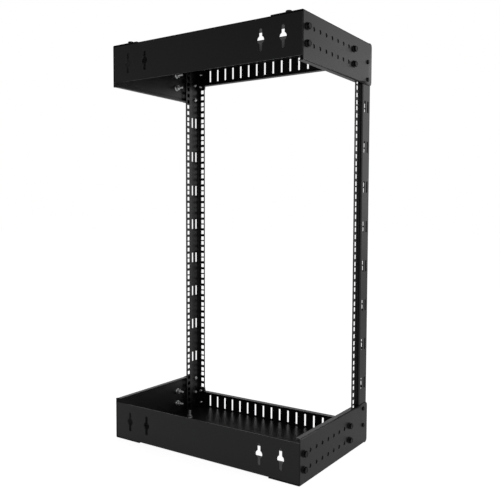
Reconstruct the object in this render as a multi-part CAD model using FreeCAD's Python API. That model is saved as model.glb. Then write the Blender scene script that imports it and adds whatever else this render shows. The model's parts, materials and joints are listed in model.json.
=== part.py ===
import FreeCAD, Part
import math
import os
from FreeCAD import Vector

# Two post open frame rack for a wall, with 18 usable rack units between its end frames.
# X runs across the rack, Y from the wall plates to the front rails, and Z is up.
# The origin is in the middle of the underside, where the rack can also stand on a floor.

# Rack standard
rack_unit = 44.45
units_in_post = 20
hole_steps_in_unit = [6.35, 22.225, 38.1]
rail_hole_spacing = 465.1
rail_hole_from_opening = 7.125
square_hole = 9.5

# How far the frames reach past the holes
rail_hole_from_side = 15.45
pattern_from_end = 8.0
post_behind_adjust = 28.8
arm_past_adjust = 20.3

# Sheet, bends and clearances
sheet = 1.5
post_sheet = 2.0
bend_inside = 1.0
fit_clearance = 0.3
cut_reach = 10.0
same_point = 1e-6

# Flat sides of what is round and repeats: plain holes, heads and shanks
hole_sides = 10
keyhole_sides = 16
head_sides = 12
hexagon_sides = 6
shank_sides = 8

# Posts
post_depth = 62.0
post_web = 40.0
post_step = 7.0
rear_hole_from_edge = 9.0
slot_length = 25.0
slot_width = 7.0
slots_from_front = [13.0, 28.0]
first_slot_unit = 3
slot_unit_step = 2
foot_screw_from_front = 21.0
foot_screw_heights = [43.0, 81.5]

# Side brackets
bracket_height = 93.0
bracket_flange = 73.0
bracket_flange_short = 12.0
bracket_lip = 12.0
bracket_lip_from_wall = 3.0
bracket_corner = 8.0
adjust_pitch = 25.4
adjust_count = 9
adjust_from_wall = 14.5
adjust_rows = [28.8, 60.55]
accessory_places = [1, 7]

# Wall plates
wall_plate_height = 84.0
wall_plate_flange = 85.0
keyhole_spacings = [406.4, 304.8]
keyhole_height = 43.8
keyhole_slot_length = 44.0
keyhole_slot_width = 7.2
keyhole_round = 16.0

# Slotted trays
tray_depth = 172.0
tray_upstand = 45.5
tray_ear = 52.0
tray_lip = 15.0
tray_slot_count = 18
tray_slot_pitch = 24.4
tray_slot_height = 29.0
tray_slot_width = 6.0
tray_slot_bottom = 5.5

# Fasteners
bolt_diameter = 6.0
bolt_hole = 7.0
bolt_flats = 10.0
bolt_head_height = 6.5
bolt_flange_diameter = 14.0
bolt_flange_height = 1.6
bolt_length = 22.0
stud_height = 20.0
wall_stud_from_side = 40.5
tray_stud_from_side = 53.0
tray_stud_from_tray_end = 68.0
front_head_diameter = 12.0
front_head_height = 4.5
front_screw_length = 14.0
foot_screw_diameter = 5.0
foot_screw_hole = 5.5
foot_head_diameter = 9.5
foot_head_height = 3.2
foot_screw_length = 10.0

# Worked out from the sizes above
adjust_end = adjust_from_wall + (adjust_count - 1) * adjust_pitch
overall_width = rail_hole_spacing + 2 * rail_hole_from_side
overall_depth = adjust_end + post_behind_adjust + post_depth + sheet
overall_height = units_in_post * rack_unit + 2 * pattern_from_end
rail_opening = rail_hole_spacing - 2 * rail_hole_from_opening
wall_arm_length = adjust_end + arm_past_adjust
tray_stud_from_wall = overall_depth - tray_depth + tray_stud_from_tray_end
half_width = overall_width / 2
wall_y = -(overall_depth + front_head_height) / 2
front_y = wall_y + overall_depth
bend_outside = bend_inside + sheet
inner_x = half_width - sheet
floor_half = half_width - bend_outside - fit_clearance
rail_half = rail_opening / 2
rail_hole_x = rail_hole_spacing / 2
pattern_start = (overall_height - units_in_post * rack_unit) / 2
post_foot = bend_outside
post_length = overall_height - 2 * post_foot
post_front_y = front_y - sheet
post_rear_y = post_front_y - post_depth
post_step_y = post_front_y - post_web
tray_wall_y = front_y - tray_depth
notch_x = rail_half - fit_clearance
notch_y = post_rear_y - fit_clearance
arm_foot = sheet + bend_outside

# Directions
across = Vector(1, 0, 0)
forward = Vector(0, 1, 0)
up = Vector(0, 0, 1)


# Sheet metal and cutters

def rounded_face(points, radii, plane):
    """A flat face through the points, each corner rounded to its own radius."""
    place = {
        "xz": lambda a, b: Vector(a, 0, b),
        "yz": lambda a, b: Vector(0, a, b),
        "xy": lambda a, b: Vector(a, b, 0),
    }[plane]
    corners = [place(*point) for point in points]
    count = len(corners)
    starts = []
    ends = []
    middles = []
    for i in range(count):
        here = corners[i]
        to_last = (corners[i - 1] - here).normalize()
        to_next = (corners[(i + 1) % count] - here).normalize()
        radius = radii[i]
        if radius == 0:
            starts.append(here)
            ends.append(here)
            middles.append(None)
            continue
        half_angle = to_last.getAngle(to_next) / 2
        run = radius / math.tan(half_angle)
        inward = (to_last + to_next).normalize()
        centre = here + inward * (radius / math.sin(half_angle))
        starts.append(here + to_last * run)
        ends.append(here + to_next * run)
        middles.append(centre - inward * radius)
    edges = []
    for i in range(count):
        following = starts[(i + 1) % count]
        if middles[i] is not None:
            edges.append(Part.Arc(starts[i], middles[i], ends[i]).toShape())
        if ends[i].distanceToPoint(following) > same_point:
            edges.append(Part.LineSegment(ends[i], following).toShape())
    return Part.Face(Part.Wire(edges))


def bent_sheet(path, side, thickness, plane):
    """The cross-section of a sheet bent along a path of its outer face.

    side is 1 where the thickness lies to the left of the path and -1 to the right.
    """
    def normal(a, b):
        length = math.hypot(b[0] - a[0], b[1] - a[1])
        return (-(b[1] - a[1]) / length * side, (b[0] - a[0]) / length * side)

    normals = [normal(a, b) for a, b in zip(path, path[1:])]
    first = normals[0]
    last = normals[-1]
    offset = [(path[0][0] + first[0] * thickness, path[0][1] + first[1] * thickness)]
    path_radii = [0]
    offset_radii = [0]
    for i in range(1, len(path) - 1):
        before = normals[i - 1]
        after = normals[i]
        x = path[i][0] + (before[0] + after[0]) * thickness
        y = path[i][1] + (before[1] + after[1]) * thickness
        offset.append((x, y))
        turn = before[0] * after[1] - before[1] * after[0]
        folds_inward = turn * side > 0
        path_radii.append(bend_inside + thickness if folds_inward else bend_inside)
        offset_radii.append(bend_inside if folds_inward else bend_inside + thickness)
    offset.append((path[-1][0] + last[0] * thickness, path[-1][1] + last[1] * thickness))
    path_radii.append(0)
    offset_radii.append(0)
    return rounded_face(path + offset[::-1], path_radii + offset_radii[::-1], plane)


def block(low, high):
    """A box between two corners."""
    size = [b - a for a, b in zip(low, high)]
    return Part.makeBox(size[0], size[1], size[2], Vector(*low))


def block_around(centre, size):
    """A box of a size around its centre."""
    low = [middle - length / 2 for middle, length in zip(centre, size)]
    return Part.makeBox(size[0], size[1], size[2], Vector(*low))


def prism(sides, corner_radius, length, start, direction):
    """A regular prism from a point along a direction."""
    angles = [2 * math.pi * (corner + 0.5) / sides for corner in range(sides + 1)]
    outline = [Vector(corner_radius * math.cos(a), corner_radius * math.sin(a), 0) for a in angles]
    solid = Part.Face(Part.makePolygon(outline)).extrude(Vector(0, 0, length))
    solid.Placement = FreeCAD.Placement(Vector(*start), FreeCAD.Rotation(up, direction))
    return solid


def punch(diameter, place, direction, sides=hole_sides):
    """A cutter for a plain hole, reaching out of a sheet on both sides of a place."""
    start = Vector(*place) - direction * cut_reach
    return prism(sides, diameter / 2 / math.cos(math.pi / sides), 2 * cut_reach, start, direction)


def drill(diameter, place, direction):
    """A truly round cutter, for holes that something else is bolted to."""
    start = Vector(*place) - direction * cut_reach
    return Part.makeCylinder(diameter / 2, 2 * cut_reach, start, direction)


def upside_down(shape):
    """The same piece for the other end of the rack."""
    return shape.mirror(Vector(0, 0, overall_height / 2), up)


def other_side(shape):
    """The same piece for the right side."""
    return shape.mirror(Vector(0, 0, 0), across)


# Places that several pieces share

def adjust_places():
    """Y of the places along a side bracket where a wall plate can be bolted."""
    return [wall_y + adjust_from_wall + adjust_pitch * i for i in range(adjust_count)]


def arm_bolt_places():
    """Y of the places where the wall plate's arms are bolted."""
    places = adjust_places()
    return [places[0], places[-1]]


def front_screw_heights():
    """Z of the screws that hold a tray's ear to the foot of a post."""
    return [pattern_start + hole_steps_in_unit[0], pattern_start + hole_steps_in_unit[-1]]


def stud_places():
    """The wall plate's and the tray's bolt in the flange of the left side bracket."""
    return [
        (-half_width + wall_stud_from_side, wall_y + adjust_from_wall),
        (-half_width + tray_stud_from_side, wall_y + tray_stud_from_wall),
    ]


# Posts

def left_post():
    """A rail with a front flange, a side web and a strip stepped inward at its wall side."""
    web_x = -inner_x
    strip_x = web_x + post_step
    path = [
        (strip_x, post_rear_y),
        (strip_x, post_step_y),
        (web_x, post_step_y),
        (web_x, post_front_y),
        (-rail_half, post_front_y),
    ]
    post = bent_sheet(path, -1, post_sheet, "xy").extrude(Vector(0, 0, post_length))
    post.translate(Vector(0, 0, post_foot))
    cutters = []
    for unit in range(units_in_post):
        for step in hole_steps_in_unit:
            z = pattern_start + unit * rack_unit + step
            cutters.append(block_around((-rail_hole_x, post_front_y, z),
                                        (square_hole, 2 * cut_reach, square_hole)))
            cutters.append(block_around((strip_x, post_rear_y + rear_hole_from_edge, z),
                                        (2 * cut_reach, square_hole, square_hole)))
    for unit in range(first_slot_unit, units_in_post, slot_unit_step):
        if unit > units_in_post - first_slot_unit:
            break
        for distance in slots_from_front:
            cutters.append(block_around((web_x, post_front_y - distance, pattern_start + unit * rack_unit),
                                        (2 * cut_reach, slot_width, slot_length)))
    for height in foot_screw_heights:
        for z in (height, overall_height - height):
            cutters.append(punch(foot_screw_hole, (web_x, front_y - foot_screw_from_front, z), across))
    return post.cut(Part.makeCompound(cutters)).removeSplitter()


# Side brackets

def bottom_left_bracket(flange_holes):
    """An upright face with round front corners, a wide flange underneath and a lip on top."""
    outer_x = -half_width
    flange_front_y = front_y - bracket_flange_short
    lip_wall_y = wall_y + bracket_lip_from_wall
    outline = [(wall_y, 0), (front_y, 0), (front_y, bracket_height), (wall_y, bracket_height)]
    face = rounded_face(outline, [0, bracket_corner, bracket_corner, 0], "yz")
    plate = face.extrude(Vector(sheet, 0, 0))
    plate.translate(Vector(outer_x, 0, 0))
    plate = plate.cut([
        block((outer_x, wall_y, 0), (outer_x + sheet, flange_front_y, bend_outside)),
        block((outer_x, lip_wall_y, bracket_height - bend_outside), (outer_x + sheet, notch_y, bracket_height)),
    ])
    flange_path = [(outer_x, bend_outside), (outer_x, 0), (outer_x + bracket_flange, 0)]
    flange = bent_sheet(flange_path, 1, sheet, "xz").extrude(Vector(0, flange_front_y - wall_y, 0))
    flange.translate(Vector(0, wall_y, 0))
    lip_path = [
        (outer_x + bracket_lip, bracket_height),
        (outer_x, bracket_height),
        (outer_x, bracket_height - bend_outside),
    ]
    lip = bent_sheet(lip_path, 1, sheet, "xz").extrude(Vector(0, notch_y - lip_wall_y, 0))
    lip.translate(Vector(0, lip_wall_y, 0))
    cutters = []
    for i, y in enumerate(adjust_places()):
        for z in adjust_rows:
            is_round = i in accessory_places and z == adjust_rows[0]
            cutter = drill if is_round else punch
            cutters.append(cutter(bolt_hole, (outer_x, y, z), across))
    for z in foot_screw_heights:
        cutters.append(punch(foot_screw_hole, (outer_x, front_y - foot_screw_from_front, z), across))
    if flange_holes:
        cutters.extend(punch(bolt_hole, (x, y, 0), up) for x, y in stud_places())
    return plate.fuse([flange, lip]).cut(Part.makeCompound(cutters)).removeSplitter()


# Wall plates

def bottom_wall_plate():
    """A plate against the wall, with an arm inside each side bracket and a flange below."""
    arm_end_y = wall_y + wall_arm_length
    path = [(-inner_x, arm_end_y), (-inner_x, wall_y), (inner_x, wall_y), (inner_x, arm_end_y)]
    walls = bent_sheet(path, 1, sheet, "xy").extrude(Vector(0, 0, wall_plate_height - arm_foot))
    walls.translate(Vector(0, 0, arm_foot))
    flange_half = inner_x - bend_outside - fit_clearance
    flange_path = [(wall_y, arm_foot), (wall_y, sheet), (wall_y + wall_plate_flange, sheet)]
    flange = bent_sheet(flange_path, 1, sheet, "yz").extrude(Vector(2 * flange_half, 0, 0))
    flange.translate(Vector(-flange_half, 0, 0))
    straight = keyhole_slot_length - keyhole_slot_width
    cutters = []
    for spacing in keyhole_spacings:
        for x in (-spacing / 2, spacing / 2):
            cutters.append(punch(keyhole_round, (x, wall_y, keyhole_height), forward, keyhole_sides))
            cutters.append(block_around((x, wall_y, keyhole_height),
                                        (keyhole_slot_width, 2 * cut_reach, straight)))
            for end in (-straight / 2, straight / 2):
                cutters.append(punch(keyhole_slot_width, (x, wall_y, keyhole_height + end), forward))
    for side in (-1, 1):
        for y in arm_bolt_places():
            cutters.extend(punch(bolt_hole, (side * inner_x, y, z), across) for z in adjust_rows)
    stud_x, stud_y = stud_places()[0]
    cutters.extend(punch(bolt_hole, (x, stud_y, sheet), up) for x in (stud_x, -stud_x))
    return walls.fuse(flange).cut(Part.makeCompound(cutters)).removeSplitter()


# Slotted trays

def bottom_slotted_tray():
    """A floor turned up at the front into a slotted strip, with an ear in front of each post."""
    path = [
        (tray_wall_y, sheet),
        (front_y, sheet),
        (front_y, tray_upstand),
        (front_y - tray_lip, tray_upstand),
    ]
    middle = bent_sheet(path, 1, sheet, "yz").extrude(Vector(2 * notch_x, 0, 0))
    middle.translate(Vector(-notch_x, 0, 0))
    left_floor = block((-floor_half, tray_wall_y, sheet), (-notch_x, notch_y, 2 * sheet))
    left_ear = block((-inner_x + fit_clearance, post_front_y, arm_foot), (-notch_x, front_y, tray_ear))
    tray = middle.fuse([left_floor, other_side(left_floor), left_ear, other_side(left_ear)])
    cutters = []
    for i in range(tray_slot_count):
        x = (i - (tray_slot_count - 1) / 2) * tray_slot_pitch
        cutters.append(block_around((x, front_y, tray_slot_bottom + tray_slot_height / 2),
                                    (tray_slot_width, 2 * cut_reach, tray_slot_height)))
    stud_x, stud_y = stud_places()[1]
    for side in (-1, 1):
        cutters.extend(punch(bolt_hole, (side * rail_hole_x, front_y, z), forward) for z in front_screw_heights())
        cutters.append(punch(bolt_hole, (side * stud_x, stud_y, sheet), up))
    return tray.cut(Part.makeCompound(cutters)).removeSplitter()


# Fasteners

def flange_bolt(face, direction):
    """A hexagon bolt with a round flange under its head, which sits on a face."""
    start = Vector(*face)
    flange_start = start - direction * bolt_flange_height
    head_start = start - direction * bolt_head_height
    head_corner = bolt_flats / 2 / math.cos(math.pi / hexagon_sides)
    head = prism(hexagon_sides, head_corner, bolt_head_height - bolt_flange_height, head_start, direction)
    flange = prism(head_sides, bolt_flange_diameter / 2, bolt_flange_height, flange_start, direction)
    shank = prism(shank_sides, bolt_diameter / 2, bolt_length, start, direction)
    return head.fuse([flange, shank])


def round_screw(face, direction, head_diameter, head_height, diameter, length):
    """A screw whose low round head sits on a face."""
    start = Vector(*face)
    head = prism(head_sides, head_diameter / 2, head_height, start - direction * head_height, direction)
    return head.fuse(prism(shank_sides, diameter / 2, length, start, direction))


def bottom_left_fasteners():
    """The fasteners of the bottom left corner, as lists of solids by name."""
    outer_x = -half_width
    wall_bolt_y, frame_bolt_y = arm_bolt_places()
    foot_y = front_y - foot_screw_from_front
    return {
        "wall_bolts": [flange_bolt((outer_x, wall_bolt_y, z), across) for z in adjust_rows],
        "frame_bolts": [flange_bolt((outer_x, frame_bolt_y, z), across) for z in adjust_rows],
        "post_screws": [
            round_screw((outer_x, foot_y, z), across,
                        foot_head_diameter, foot_head_height, foot_screw_diameter, foot_screw_length)
            for z in foot_screw_heights
        ],
        "front_screws": [
            round_screw((-rail_hole_x, front_y, z), -forward,
                        front_head_diameter, front_head_height, bolt_diameter, front_screw_length)
            for z in front_screw_heights()
        ],
    }


def bottom_left_studs():
    """Studs pressed into the flange of a bottom bracket, flush underneath."""
    return [prism(shank_sides, bolt_diameter / 2, stud_height, (x, y, sheet), up) for x, y in stud_places()]


def flange_bolts_from_below():
    """Bolts through the flange of a bracket, as the top frame has them upside down."""
    return [flange_bolt((x, y, 0), up) for x, y in stud_places()]


# Every piece, by its node name

wall_plate = bottom_wall_plate()
tray = bottom_slotted_tray()
post = left_post()
nodes = {
    "bottom_wall_plate": wall_plate,
    "top_wall_plate": upside_down(wall_plate),
    "bottom_slotted_tray": tray,
    "top_slotted_tray": upside_down(tray),
    "left_post": post,
    "right_post": other_side(post),
}

for level in ("bottom", "top"):
    is_bottom = level == "bottom"
    pieces = {name: Part.makeCompound(solids) for name, solids in bottom_left_fasteners().items()}
    pieces["side_bracket"] = bottom_left_bracket(not is_bottom)
    if is_bottom:
        pieces["flange_studs"] = Part.makeCompound(bottom_left_studs())
    else:
        pieces["flange_bolts"] = Part.makeCompound(flange_bolts_from_below())
    for name, shape in pieces.items():
        left = shape if is_bottom else upside_down(shape)
        nodes[level + "_left_" + name] = left
        nodes[level + "_right_" + name] = other_side(left)

os.makedirs("parts", exist_ok=True)
for name, shape in nodes.items():
    shape.exportStep("parts/" + name + ".step")
print(len(nodes), "nodes written")
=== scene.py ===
import bmesh
import bpy
import json
import math
from mathutils import Matrix, Vector


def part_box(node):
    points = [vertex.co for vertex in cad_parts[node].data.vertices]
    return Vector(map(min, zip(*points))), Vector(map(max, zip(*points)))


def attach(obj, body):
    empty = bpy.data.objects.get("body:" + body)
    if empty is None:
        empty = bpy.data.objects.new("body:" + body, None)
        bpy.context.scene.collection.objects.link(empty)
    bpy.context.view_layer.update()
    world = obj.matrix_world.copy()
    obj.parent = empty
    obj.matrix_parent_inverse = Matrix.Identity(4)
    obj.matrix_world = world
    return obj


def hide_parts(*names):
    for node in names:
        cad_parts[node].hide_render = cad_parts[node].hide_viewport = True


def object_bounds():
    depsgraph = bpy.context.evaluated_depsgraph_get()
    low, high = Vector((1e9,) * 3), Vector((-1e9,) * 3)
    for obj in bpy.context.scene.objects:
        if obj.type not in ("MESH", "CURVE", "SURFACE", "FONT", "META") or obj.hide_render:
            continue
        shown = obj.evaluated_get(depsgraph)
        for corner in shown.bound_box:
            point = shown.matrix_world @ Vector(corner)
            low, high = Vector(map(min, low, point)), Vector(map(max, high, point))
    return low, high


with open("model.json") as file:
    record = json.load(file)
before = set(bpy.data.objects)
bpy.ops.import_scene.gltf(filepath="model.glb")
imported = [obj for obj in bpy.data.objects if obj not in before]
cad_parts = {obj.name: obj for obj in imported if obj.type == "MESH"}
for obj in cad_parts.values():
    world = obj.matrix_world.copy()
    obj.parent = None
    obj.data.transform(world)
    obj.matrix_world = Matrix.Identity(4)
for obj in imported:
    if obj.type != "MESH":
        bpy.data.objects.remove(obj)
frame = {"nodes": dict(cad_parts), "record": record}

cadBox = [list(corner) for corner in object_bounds()]
middleHeight = cadBox[1][2] / 2
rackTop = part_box("top_left_side_bracket")[1].z       # without the bolt heads on top
nodes = frame["nodes"]
plateSheet = 0.0015
postSheet = 0.002
print("rack loaded,", len(nodes), "nodes")


# Shader maths as plain expressions

class Wire:
    def __init__(self, tree, socket):
        self.tree = tree
        self.socket = socket

    def math(self, operation, first, second):
        return self.tree.add("ShaderNodeMath", {"operation": operation}, {0: first, 1: second})

    def __add__(self, other):
        return self.math("ADD", self, other)

    def __mul__(self, other):
        return self.math("MULTIPLY", self, other)

    def __sub__(self, other):
        return self.math("SUBTRACT", self, other)

    def __rsub__(self, other):
        return self.math("SUBTRACT", other, self)

    __radd__ = __add__
    __rmul__ = __mul__


class ShaderTree:
    def __init__(self, owner):
        owner.use_nodes = True
        self.nodes = owner.node_tree.nodes
        self.links = owner.node_tree.links
        self.nodes.clear()

    def add(self, kind, settings=None, inputs=None, output=0):
        node = self.nodes.new(kind)
        for key, value in (settings or {}).items():
            setattr(node, key, value)
        for key, value in (inputs or {}).items():
            if isinstance(value, Wire):
                self.links.new(value.socket, node.inputs[key])
            else:
                node.inputs[key].default_value = value
        return Wire(self, node.outputs[output]) if node.outputs else node

    def mixColour(self, factor, first, second):
        # 6 and 7 are the Mix node's colour inputs and 2 is its colour output
        return self.add("ShaderNodeMix", {"data_type": "RGBA"}, {0: factor, 6: first, 7: second}, output=2)


def grey(level, tint=0.0):
    return (level, level, level * (1 + tint), 1)


# Finishes

powder = {
    "darkest": grey(0.005, 0.04),
    "lightest": grey(0.009, 0.04),
    "grainScale": 1500,       # one grain about every 0.7 mm
    "cloudScale": 9,
    "grainInColour": 0.6,     # the rest comes from the clouds
    "grainInRoughness": 0.3,
    "smoothest": 0.30,
    "roughest": 0.40,
    "grainDepth": 0.00003,
}


def makePowderCoat():
    material = bpy.data.materials.new("blackPowderCoat")
    tree = ShaderTree(material)
    place = tree.add("ShaderNodeTexCoord", output="Object")
    grain = tree.add("ShaderNodeTexNoise", inputs={
        "Vector": place, "Scale": powder["grainScale"], "Detail": 3})
    cloud = tree.add("ShaderNodeTexNoise", inputs={
        "Vector": place, "Scale": powder["cloudScale"], "Detail": 4})
    inColour = powder["grainInColour"]
    inRoughness = powder["grainInRoughness"]
    colour = tree.mixColour(grain * inColour + cloud * (1 - inColour), powder["darkest"], powder["lightest"])
    spread = powder["roughest"] - powder["smoothest"]
    roughness = powder["smoothest"] + (cloud * (1 - inRoughness) + grain * inRoughness) * spread
    bump = tree.add("ShaderNodeBump", inputs={"Distance": powder["grainDepth"], "Height": grain})
    surface = tree.add("ShaderNodeBsdfPrincipled", inputs={
        "Base Color": colour, "Roughness": roughness, "Normal": bump, "IOR": 1.5})
    tree.add("ShaderNodeOutputMaterial", inputs={"Surface": surface})
    return material


def makeMottled(name, finish, plainInputs):
    material = bpy.data.materials.new(name)
    tree = ShaderTree(material)
    place = tree.add("ShaderNodeTexCoord", output="Object")
    mottle = tree.add("ShaderNodeTexNoise", inputs={
        "Vector": place, "Scale": finish["scale"], "Detail": finish["detail"]})
    spread = finish["roughest"] - finish["smoothest"]
    surface = tree.add("ShaderNodeBsdfPrincipled", inputs={
        "Base Color": tree.mixColour(mottle, finish["darkest"], finish["lightest"]),
        "Roughness": finish["smoothest"] + mottle * spread,
        **plainInputs})
    tree.add("ShaderNodeOutputMaterial", inputs={"Surface": surface})
    return material


blackSteel = {"darkest": grey(0.003), "lightest": grey(0.008), "scale": 700, "detail": 4,
              "smoothest": 0.32, "roughest": 0.5, "specular": 0.25}
zinc = {"darkest": (0.62, 0.63, 0.65, 1), "lightest": (0.92, 0.92, 0.90, 1), "scale": 420, "detail": 3,
        "smoothest": 0.22, "roughest": 0.38, "metallic": 1.0}
# many times lighter than the powder coat: a painted highlight for the beads along the wall plates' free edges
edgeHighlightFinish = {"darkest": grey(0.06), "lightest": grey(0.14), "scale": 240, "detail": 3,
              "smoothest": 0.18, "roughest": 0.3}

powderCoat = makePowderCoat()
# the edge beads' finish, lighter than the coat as a painted highlight
paintedHighlightEdge = makeMottled("paintedHighlightEdge", edgeHighlightFinish, {})
blackenedSteel = makeMottled("blackenedSteel", blackSteel, {"Specular IOR Level": blackSteel["specular"]})
zincPlate = makeMottled("zincPlate", zinc, {"Metallic": zinc["metallic"]})
finishes = {"black_powder_coat": powderCoat, "black_fastener": blackenedSteel, "zinc_plate": zincPlate}
for part in frame["record"]["subparts"]:
    node = nodes[part["node"]]
    node.data.materials.clear()
    node.data.materials.append(finishes[part["material_slot"]])
print("finishes made")


# One fastener of each kind, standing on the origin and pointing up +Z

def meshObject(name, build):
    form = bmesh.new()
    build(form)
    bmesh.ops.remove_doubles(form, verts=form.verts, dist=1e-7)
    bmesh.ops.recalc_face_normals(form, faces=form.faces)
    mesh = bpy.data.meshes.new(name)
    form.to_mesh(mesh)
    form.free()
    thing = bpy.data.objects.new(name, mesh)
    bpy.context.scene.collection.objects.link(thing)
    return thing


def stackRings(form, rings):
    loops = [[form.verts.new(point) for point in ring] for ring in rings]
    for lower, upper in zip(loops, loops[1:]):
        count = len(lower)
        for i in range(count):
            j = (i + 1) % count
            form.faces.new((lower[i], lower[j], upper[j], upper[i]))
    form.faces.new(loops[0][::-1])
    form.faces.new(loops[-1])


def ringPoints(radius, z, steps, hexShare=0.0):
    points = []
    for i in range(steps):
        angle = 2 * math.pi * i / steps
        toFlat = (angle + math.pi / 6) % (math.pi / 3) - math.pi / 6
        reach = radius * ((1 - hexShare) + hexShare / math.cos(toFlat))
        points.append((reach * math.cos(angle), reach * math.sin(angle), z))
    return points


hexHead = {
    "flats": 0.0112,
    "height": 0.0065,
    "flange": 0.0150,
    "flangeThickness": 0.0009,
    "flangeSlope": 0.0008,
    "cornerCut": 0.0006,
    "rootReach": 1.16,        # where the flange's slope ends, in halves of the flats
    "rootHexShare": 0.2,
    "headStart": 1.3,         # in heights of the slope
    "crownReach": 0.97,
    "crownHexShare": 0.1,
    "dishRim": 0.78,
    "dishFloor": 0.70,
    "dishDepth": 0.0005,
    "steps": 36,
}


def buildHexHead(form, withDish=True):
    size = hexHead
    steps = size["steps"]
    half = size["flats"] / 2
    top = size["height"]
    flange = size["flange"] / 2
    rim = size["flangeThickness"]
    rings = [
        ringPoints(flange, 0, steps),
        ringPoints(flange, rim, steps),
        ringPoints(half * size["rootReach"], rim + size["flangeSlope"], steps, size["rootHexShare"]),
        ringPoints(half, rim + size["flangeSlope"] * size["headStart"], steps, 1),
        ringPoints(half, top - size["cornerCut"], steps, 1),
        ringPoints(half * size["crownReach"], top, steps, size["crownHexShare"]),
    ]
    if withDish:
        rings.append(ringPoints(half * size["dishRim"], top, steps))
        rings.append(ringPoints(half * size["dishFloor"], top - size["dishDepth"], steps))
    stackRings(form, rings)


thread = {"diameter": 0.006, "pitch": 0.001, "depth": 0.00035, "steps": 18, "tip": 0.0006}


def buildThread(length, diameter, pitch):
    steps = thread["steps"]
    depth = thread["depth"]

    def build(form):
        rows = int(length / pitch * 2)
        rings = [ringPoints(diameter / 2 - depth, 0, steps)]
        for row in range(rows):
            ring = []
            for i in range(steps):
                turn = i / steps
                z = min(max((row / 2 + turn) * pitch, 0), length - thread["tip"])
                radius = diameter / 2 - (depth if row % 2 == 0 else 0)
                angle = 2 * math.pi * turn
                ring.append((radius * math.cos(angle), radius * math.sin(angle), z))
            rings.append(ring)
        rings.append(ringPoints(diameter / 2 - depth, length - thread["tip"] / 2, steps))
        rings.append(ringPoints(diameter / 2 - 2 * depth, length, steps))
        stackRings(form, rings)

    return build


roundHead = {
    "steps": 32,
    "rise": 5,                # rings from the rim to the top
    "rimShare": 0.35,         # of the height
    "domeShare": 0.45,        # of the radius
    "crossSize": 0.62,
    "crossWidth": 0.16,
    "crossReach": 0.62,
    "crossDepth": 0.45,
    "crossTaper": 0.5,
}


def buildRoundHead(diameter, height):
    size = roundHead
    steps = size["steps"]
    rim = size["rimShare"]
    dome = size["domeShare"]

    def build(form):
        radius = diameter / 2
        rings = [ringPoints(radius, 0, steps), ringPoints(radius, height * rim, steps)]
        for i in range(1, size["rise"] + 1):
            angle = math.pi / 2 * i / (size["rise"] + 1)
            rings.append(ringPoints(radius * ((1 - dome) + dome * math.cos(angle)),
                                    height * (rim + (1 - rim) * math.sin(angle)), steps))
        cross = []
        floor = []
        for i in range(steps):
            angle = 2 * math.pi * i / steps
            arm = abs(math.cos(2 * angle)) ** 3 * size["crossReach"] + size["crossWidth"]
            x = radius * arm * size["crossSize"] * math.cos(angle)
            y = radius * arm * size["crossSize"] * math.sin(angle)
            cross.append((x, y, height))
            floor.append((x * size["crossTaper"], y * size["crossTaper"], height * (1 - size["crossDepth"])))
        stackRings(form, rings + [cross, floor])

    return build


plainNut = {"flats": 0.010, "height": 0.005, "cornerReach": 0.94, "cornerShare": 0.12, "steps": 36}


def buildPlainNut(flats, height):
    steps = plainNut["steps"]
    half = flats / 2
    cut = plainNut["cornerReach"]
    share = plainNut["cornerShare"]
    return lambda form: stackRings(form, [
        ringPoints(half * cut, 0, steps),
        ringPoints(half, height * share, steps, 1),
        ringPoints(half, height * (1 - share), steps, 1),
        ringPoints(half * cut, height, steps),
    ])


# Copies of a fastener at its places, by Geometry Nodes

def copyTree():
    tree = bpy.data.node_groups.new("fastenerCopies", "GeometryNodeTree")
    face = tree.interface
    face.new_socket("Places", in_out="INPUT", socket_type="NodeSocketGeometry")
    for name, kind in (("Fastener", "Object"), ("Turn", "Vector"), ("Finish", "Material")):
        face.new_socket(name, in_out="INPUT", socket_type="NodeSocket" + kind)
    face.new_socket("Copies", in_out="OUTPUT", socket_type="NodeSocketGeometry")
    add = tree.nodes.new
    start = add("NodeGroupInput")
    info = add("GeometryNodeObjectInfo")
    euler = add("FunctionNodeEulerToRotation")
    points = add("GeometryNodeInstanceOnPoints")
    realize = add("GeometryNodeRealizeInstances")
    paint = add("GeometryNodeSetMaterial")
    end = add("NodeGroupOutput")
    for source, target in (
        (start.outputs["Places"], points.inputs["Points"]),
        (start.outputs["Fastener"], info.inputs["Object"]),
        (start.outputs["Turn"], euler.inputs["Euler"]),
        (info.outputs["Geometry"], points.inputs["Instance"]),
        (euler.outputs["Rotation"], points.inputs["Rotation"]),
        (points.outputs["Instances"], realize.inputs["Geometry"]),
        (realize.outputs["Geometry"], paint.inputs["Geometry"]),
        (start.outputs["Finish"], paint.inputs["Material"]),
        (paint.outputs["Geometry"], end.inputs["Copies"]),
    ):
        tree.links.new(source, target)
    return tree


fastenerCopies = copyTree()
turns = {
    "+X": (0, math.pi / 2, 0),
    "-X": (0, -math.pi / 2, 0),
    "+Y": (-math.pi / 2, 0, 0),
    "-Y": (math.pi / 2, 0, 0),
    "+Z": (0, 0, 0),
    "-Z": (math.pi, 0, 0),
}


def plainMesh(thing):
    return bpy.data.meshes.new_from_object(thing.evaluated_get(bpy.context.evaluated_depsgraph_get()))


def copiesAt(name, source, places, direction, finish):
    mesh = bpy.data.meshes.new(name + "Places")
    mesh.from_pydata([Vector(place) for place in places], [], [])
    holder = bpy.data.objects.new(name + "Holder", mesh)
    bpy.context.scene.collection.objects.link(holder)
    modifier = holder.modifiers.new("copies", "NODES")
    modifier.node_group = fastenerCopies
    sockets = {item.name: item.identifier for item in fastenerCopies.interface.items_tree
               if item.in_out == "INPUT"}
    modifier[sockets["Fastener"]] = source
    modifier[sockets["Turn"]] = turns[direction]
    modifier[sockets["Finish"]] = finish
    result = plainMesh(holder)
    bpy.data.objects.remove(holder)
    return result


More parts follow.
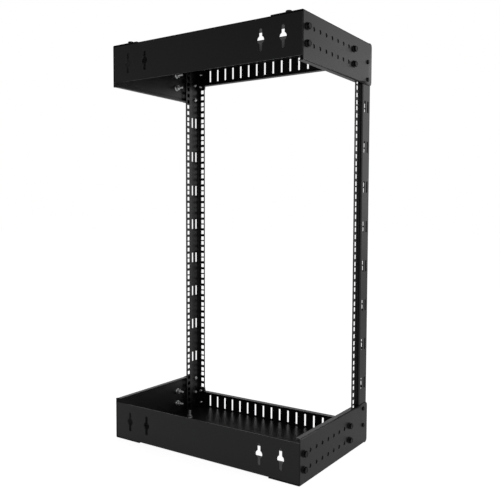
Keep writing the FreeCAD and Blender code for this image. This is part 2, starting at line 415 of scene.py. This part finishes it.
def addPiece(name, source, groups, finish, replaced=()):
    form = bmesh.new()
    for direction, places in groups.items():
        part = copiesAt(name, source, places, direction, finish)
        form.from_mesh(part)
        bpy.data.meshes.remove(part)
    mesh = bpy.data.meshes.new(name)
    form.to_mesh(mesh)
    form.free()
    mesh.materials.append(finish)
    piece = bpy.data.objects.new(name, mesh)
    bpy.context.scene.collection.objects.link(piece)
    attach(piece, "root")
    if replaced:
        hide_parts(*replaced)


# Where the fasteners are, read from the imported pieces

sideStack = 2 * plateSheet              # a bracket and an arm
postStack = plateSheet + postSheet      # a bracket or a tray's ear, and a post
inward = {1: "-X", -1: "+X"}
outward = {1: "+X", -1: "-X"}


def corners(name):
    return [level + "_" + side + "_" + name for level in ("bottom", "top") for side in ("left", "right")]


def pairHeights(low, high, headWidth):
    middle = (low.z + high.z) / 2
    room = (high.z - low.z) / 2 - headWidth / 2
    return [middle - room, middle + room]


def screwFaces(node, headHeight):
    low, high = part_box(node)
    side = 1 if high.x > 0 else -1
    face = high.x - headHeight if side > 0 else low.x + headHeight
    return side, [Vector((face, (low.y + high.y) / 2, z)) for z in pairHeights(low, high, high.y - low.y)]


def sideSets(names, headHeight, stack):
    heads = {"+X": [], "-X": []}
    threads = {"+X": [], "-X": []}
    nuts = {"+X": [], "-X": []}
    for name in names:
        side, faces = screwFaces(name, headHeight)
        heads[outward[side]] += faces
        threads[inward[side]] += faces
        nuts[inward[side]] += [face - Vector((side * stack, 0, 0)) for face in faces]
    return heads, threads, nuts


def standingPair(node, half):
    low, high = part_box(node)
    ends = [low.x + half, high.x - half]
    outer, inner = ends if high.x < 0 else ends[::-1]
    return [Vector((outer, low.y + half, 0)), Vector((inner, high.y - half, 0))]


boltNodes = corners("wall_bolts") + corners("frame_bolts")
boltLow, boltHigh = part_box(boltNodes[0])
boltLength = boltHigh.x - boltLow.x - hexHead["height"]
hexHeadForm = meshObject("hexHeadForm", buildHexHead)
flangeNutForm = meshObject("flangeNutForm", lambda form: buildHexHead(form, withDish=False))
boltThreadForm = meshObject("boltThreadForm", buildThread(boltLength, thread["diameter"], thread["pitch"]))
heads, threads, nuts = sideSets(boltNodes, hexHead["height"], sideStack)
addPiece("side_bolt_heads", hexHeadForm, heads, blackenedSteel, boltNodes)
addPiece("side_bolt_threads", boltThreadForm, threads, zincPlate)
addPiece("side_bolt_nuts", flangeNutForm, nuts, zincPlate)
print("side bolts made")

postScrew = {"head": 0.0095, "headHeight": 0.0032, "diameter": 0.005, "pitch": 0.0008,
             "nutFlats": 0.008, "nutHeight": 0.004}
postNodes = corners("post_screws")
postLow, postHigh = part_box(postNodes[0])
postLength = postHigh.x - postLow.x - postScrew["headHeight"]
postHeadForm = meshObject("postHeadForm", buildRoundHead(postScrew["head"], postScrew["headHeight"]))
postThreadForm = meshObject("postThreadForm", buildThread(
    postLength, postScrew["diameter"], postScrew["pitch"]))
postNutForm = meshObject("postNutForm", buildPlainNut(postScrew["nutFlats"], postScrew["nutHeight"]))
heads, threads, nuts = sideSets(postNodes, postScrew["headHeight"], postStack)
addPiece("post_screw_heads", postHeadForm, heads, blackenedSteel, postNodes)
addPiece("post_screw_threads", postThreadForm, threads, zincPlate)
addPiece("post_screw_nuts", postNutForm, nuts, zincPlate)
print("post screws made")

frontScrew = {"head": 0.012, "headHeight": 0.0045}
frontNodes = corners("front_screws")
frontFaces = []
for name in frontNodes:
    low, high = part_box(name)
    middle = (low.x + high.x) / 2
    face = high.y - frontScrew["headHeight"]
    frontFaces += [Vector((middle, face, z)) for z in pairHeights(low, high, high.x - low.x)]
frontLow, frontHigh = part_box(frontNodes[-1])
frontLength = frontHigh.y - frontLow.y - frontScrew["headHeight"]
frontHeadForm = meshObject("frontHeadForm", buildRoundHead(frontScrew["head"], frontScrew["headHeight"]))
frontThreadForm = meshObject("frontThreadForm", buildThread(frontLength, thread["diameter"], thread["pitch"]))
frontNutForm = meshObject("frontNutForm", buildPlainNut(plainNut["flats"], plainNut["height"]))
behindPost = [face - Vector((0, postStack, 0)) for face in frontFaces]
addPiece("front_screw_heads", frontHeadForm, {"+Y": frontFaces}, blackenedSteel, frontNodes)
addPiece("front_screw_threads", frontThreadForm, {"-Y": frontFaces}, zincPlate)
addPiece("front_screw_nuts", frontNutForm, {"-Y": behindPost}, blackenedSteel)
print("front screws made")

topBolt = {"packedFlange": 0.014}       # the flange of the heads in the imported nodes
topBoltNodes = ["top_left_flange_bolts", "top_right_flange_bolts"]
topHeadPlaces = []
for name in topBoltNodes:
    rise = Vector((0, 0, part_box(name)[1].z - hexHead["height"]))
    topHeadPlaces += [place + rise for place in standingPair(name, topBolt["packedFlange"] / 2)]
topNutPlaces = [place - Vector((0, 0, sideStack)) for place in topHeadPlaces]
addPiece("top_bolt_heads", hexHeadForm, {"+Z": topHeadPlaces}, blackenedSteel, topBoltNodes)
addPiece("top_bolt_threads", boltThreadForm, {"-Z": topHeadPlaces}, zincPlate)
addPiece("top_bolt_nuts", flangeNutForm, {"-Z": topNutPlaces}, zincPlate)

studNodes = ["bottom_left_flange_studs", "bottom_right_flange_studs"]
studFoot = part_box(studNodes[0])[0].z
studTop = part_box(studNodes[0])[1].z
studPlaces = []
for name in studNodes:
    studPlaces += [place + Vector((0, 0, studFoot)) for place in standingPair(name, thread["diameter"] / 2)]
studNutPlaces = [place + Vector((0, 0, plateSheet)) for place in studPlaces]
studForm = meshObject("studForm", buildThread(studTop - studFoot, thread["diameter"], thread["pitch"]))
addPiece("flange_stud_threads", studForm, {"+Z": studPlaces}, zincPlate, studNodes)
addPiece("flange_stud_nuts", flangeNutForm, {"+Z": studNutPlaces}, zincPlate)
for form in (hexHeadForm, flangeNutForm, boltThreadForm, postHeadForm, postThreadForm, postNutForm,
             frontHeadForm, frontThreadForm, frontNutForm, studForm):
    bpy.data.objects.remove(form)
print("flange bolts and studs made")


# Side brackets with their holes round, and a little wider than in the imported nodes

openHoles = {
    "diameter": 0.0086,
    "pitch": 0.0254,
    "count": 9,
    "fromWall": 0.0145,
    "rows": (0.0288, 0.06055),
    "steps": 32,
    "cutterReach": 0.004,
    "smoothAngle": 0.6,
}


def buildHoleCutter(form):
    half = openHoles["diameter"] / 2
    reach = openHoles["cutterReach"]
    stackRings(form, [ringPoints(half, end, openHoles["steps"]) for end in (-reach, reach)])


def openHolePlaces(node):
    low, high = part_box(node)
    face = low.x if low.x < 0 else high.x
    places = []
    for i in range(openHoles["count"]):
        y = low.y + openHoles["fromWall"] + i * openHoles["pitch"]
        for row in openHoles["rows"]:
            z = low.z + row if low.z < middleHeight else high.z - row
            places.append(Vector((face, y, z)))
    return places


def addOpenedBracket(node, cutter):
    cutterMesh = copiesAt(node + "Cutters", cutter, openHolePlaces(node), "+X", powderCoat)
    cutters = bpy.data.objects.new("cutters", cutterMesh)
    bpy.context.scene.collection.objects.link(cutters)
    form = bmesh.new()
    form.from_mesh(nodes[node].data)
    bmesh.ops.remove_doubles(form, verts=form.verts, dist=1e-6)
    mesh = bpy.data.meshes.new(node + "_solid")
    form.to_mesh(mesh)
    form.free()
    solid = bpy.data.objects.new("solid", mesh)
    bpy.context.scene.collection.objects.link(solid)
    opened = solid.modifiers.new("opened", "BOOLEAN")
    opened.operation = "DIFFERENCE"
    opened.solver = "EXACT"
    opened.object = cutters
    result = plainMesh(solid)
    bpy.data.objects.remove(solid)
    bpy.data.objects.remove(cutters)
    result.materials.clear()
    result.materials.append(powderCoat)
    result.shade_smooth()
    result.set_sharp_from_angle(angle=openHoles["smoothAngle"])
    plate = bpy.data.objects.new(node + "_plate", result)
    bpy.context.scene.collection.objects.link(plate)
    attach(plate, "root")
    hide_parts(node)


holeCutter = meshObject("holeCutter", buildHoleCutter)
for name in corners("side_bracket"):
    addOpenedBracket(name, holeCutter)
bpy.data.objects.remove(holeCutter)
print("side brackets opened")


# A foot tab under each post and one above it, between the bracket's flange and the tray's lip

footTab = {"width": 0.0222, "length": 0.0152, "thickness": 0.0010, "corner": 0.0012, "cornerSteps": 4,
           "cut": 0.0002, "fromMiddle": 0.2355, "behindFront": 0.0091}


def tabRing(inset, z):
    radius = footTab["corner"]
    steps = footTab["cornerSteps"]
    reachX = footTab["width"] / 2 - radius - inset
    reachY = footTab["length"] / 2 - radius - inset
    ring = []
    for quarter, (signX, signY) in enumerate(((1, 1), (-1, 1), (-1, -1), (1, -1))):
        for step in range(steps + 1):
            angle = math.pi / 2 * (quarter + step / steps)
            x = signX * reachX + radius * math.cos(angle)
            y = signY * reachY + radius * math.sin(angle)
            ring.append((x, y, z))
    return ring


def buildFootTab(form):
    cut = footTab["cut"]
    top = footTab["thickness"]
    stackRings(form, [tabRing(cut, 0), tabRing(0, cut), tabRing(0, top - cut), tabRing(cut, top)])


footTabForm = meshObject("footTabForm", buildFootTab)
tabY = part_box("bottom_slotted_tray")[1].y - footTab["behindFront"]
tabHeights = {"bottom": plateSheet, "top": rackTop - plateSheet - footTab["thickness"]}
for level, z in tabHeights.items():
    places = [Vector((side * footTab["fromMiddle"], tabY, z)) for side in (-1, 1)]
    addPiece(level + "_foot_tabs", footTabForm, {"+Z": places}, powderCoat)
bpy.data.objects.remove(footTabForm)
print("foot tabs made")


# A narrow edge along each side of the tray slots

slotEdge = {"width": 0.0005, "height": 0.029, "fromEnd": 0.0055, "slot": 0.006, "pitch": 0.0244, "count": 18}


def buildSlotEdge(form):
    half = slotEdge["width"] / 2
    outline = [(-half, -plateSheet), (half, -plateSheet), (half, 0), (-half, 0)]
    ends = (-slotEdge["height"] / 2, slotEdge["height"] / 2)
    stackRings(form, [[(x, y, end) for x, y in outline] for end in ends])


def addSlotEdges(node, strip):
    low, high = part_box(node)
    rise = slotEdge["fromEnd"] + slotEdge["height"] / 2
    z = rise if low.z < middleHeight else rackTop - rise
    reach = slotEdge["slot"] / 2 - slotEdge["width"] / 2
    places = []
    for i in range(slotEdge["count"]):
        middle = (i - (slotEdge["count"] - 1) / 2) * slotEdge["pitch"]
        places += [Vector((middle + side * reach, high.y, z)) for side in (-1, 1)]
    addPiece(node + "_edges", strip, {"+Z": places}, powderCoat)


slotEdgeForm = meshObject("slotEdgeForm", buildSlotEdge)
addSlotEdges("bottom_slotted_tray", slotEdgeForm)
addSlotEdges("top_slotted_tray", slotEdgeForm)
bpy.data.objects.remove(slotEdgeForm)
print("tray slots edged")


# A round bead along the free edge of each wall plate, in a much lighter finish than the coat: a painted
# highlight where these edges catch the light

edgeBead = {"radius": 0.0010, "steps": 10, "inset": 0.004}


def addEdgeBead(node, atTop):
    low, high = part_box(node)
    radius = edgeBead["radius"]
    y = low.y + radius
    z = high.z - radius if atTop else low.z + radius
    profile = ringPoints(radius, 0, edgeBead["steps"])
    ends = (low.x + edgeBead["inset"], high.x - edgeBead["inset"])
    bead = meshObject(node + "_edge", lambda form: stackRings(form, [
        [(x, y + point[0], z + point[1]) for point in profile] for x in ends]))
    # the lighter finish paints the edge's highlight
    bead.data.materials.append(paintedHighlightEdge)
    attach(bead, "root")


addEdgeBead("bottom_wall_plate", atTop=True)
addEdgeBead("top_wall_plate", atTop=False)
print("wall plate edges made")


# Camera, floor, background and lamps

view = {"place": (0.8576, -1.2334, 0.5265), "tilt": 86.774, "roll": 0.19, "yaw": 34.08,
        "lens": 47.08, "sensor": 36}


def makeCamera():
    data = bpy.data.cameras.new("camera")
    data.lens = view["lens"]
    data.sensor_width = view["sensor"]
    camera = bpy.data.objects.new("camera", data)
    yaw = Matrix.Rotation(math.radians(view["yaw"]), 4, "Z")
    tilt = Matrix.Rotation(math.radians(view["tilt"]), 4, "X")
    roll = Matrix.Rotation(math.radians(view["roll"]), 4, "Z")
    camera.matrix_world = Matrix.Translation(view["place"]) @ (yaw @ tilt @ roll)
    bpy.context.scene.collection.objects.link(camera)
    bpy.context.scene.camera = camera


studio = {
    "floorSize": 30,
    "floorColour": grey(0.8),
    "floorGlow": 0.90,        # light of its own, which only the camera sees
    "floorMirrored": 0.3,     # the same for gloss and glass
    "farLight": 1.0,          # beyond the rack's front
    "nearLight": 0.31,        # on the wall's side, where the camera is
    "highLight": 0.13,        # overhead, times the others
    "turnFrom": -0.25,
    "turnTo": 0.25,
    "brightUpTo": 0.24,
    "darkFrom": 0.42,
}


def makeFloor():
    half = studio["floorSize"] / 2
    outline = [(-half, -half, 0), (half, -half, 0), (half, half, 0), (-half, half, 0)]
    mesh = bpy.data.meshes.new("floor")
    mesh.from_pydata(outline, [], [(0, 1, 2, 3)])
    floor = bpy.data.objects.new("floor", mesh)
    bpy.context.scene.collection.objects.link(floor)
    material = bpy.data.materials.new("paleFloor")
    tree = ShaderTree(material)
    isCamera = tree.add("ShaderNodeLightPath", output="Is Camera Ray")
    isGlossy = tree.add("ShaderNodeLightPath", output="Is Glossy Ray")
    isTransmission = tree.add("ShaderNodeLightPath", output="Is Transmission Ray")
    diffuse = tree.add("ShaderNodeBsdfDiffuse", inputs={"Color": studio["floorColour"]})
    strength = isCamera * studio["floorGlow"] + (isGlossy + isTransmission) * studio["floorMirrored"]
    glow = tree.add("ShaderNodeEmission", inputs={"Strength": strength})
    both = tree.add("ShaderNodeAddShader", inputs={0: diffuse, 1: glow})
    tree.add("ShaderNodeOutputMaterial", inputs={"Surface": both})
    mesh.materials.append(material)


def makeWorld():
    world = bpy.data.worlds.new("studio")
    bpy.context.scene.world = world
    tree = ShaderTree(world)
    direction = tree.add("ShaderNodeTexCoord", output="Generated")       # the way a ray goes, in a world
    forward = tree.add("ShaderNodeSeparateXYZ", inputs={0: direction}, output="Y")
    upward = tree.add("ShaderNodeSeparateXYZ", inputs={0: direction}, output="Z")
    far = tree.add("ShaderNodeMapRange", {"interpolation_type": "SMOOTHSTEP"}, {
        "Value": forward, "From Min": studio["turnFrom"], "From Max": studio["turnTo"],
        "To Min": studio["nearLight"], "To Max": studio["farLight"]})
    high = tree.add("ShaderNodeMapRange", {"interpolation_type": "SMOOTHSTEP"}, {
        "Value": upward, "From Min": studio["brightUpTo"], "From Max": studio["darkFrom"],
        "To Min": 1, "To Max": studio["highLight"]})
    isCamera = tree.add("ShaderNodeLightPath", output="Is Camera Ray")
    strength = isCamera + (1 - isCamera) * far * high
    light = tree.add("ShaderNodeBackground", inputs={"Color": grey(1.0), "Strength": strength})
    tree.add("ShaderNodeOutputWorld", inputs={"Surface": light})


lamps = {
    "overhead": {"place": (0.0, 0.5, 2.6), "aim": (0, 0, 0.4), "size": 1.8, "watts": 4},
    "fill": {"place": (2.0, -1.6, 1.2), "aim": (0, 0, 0.45), "size": 1.4, "watts": 8},
}


def makeLamps():
    for name, lamp in lamps.items():
        data = bpy.data.lights.new(name, "AREA")
        data.size = lamp["size"]
        data.energy = lamp["watts"]
        thing = bpy.data.objects.new(name, data)
        thing.location = lamp["place"]
        aim = Vector(lamp["aim"]) - Vector(lamp["place"])
        thing.rotation_euler = aim.to_track_quat("-Z", "Y").to_euler()
        bpy.context.scene.collection.objects.link(thing)


makeCamera()
makeFloor()
makeWorld()
makeLamps()
bpy.context.scene.view_settings.view_transform = "Standard"
print("studio made")
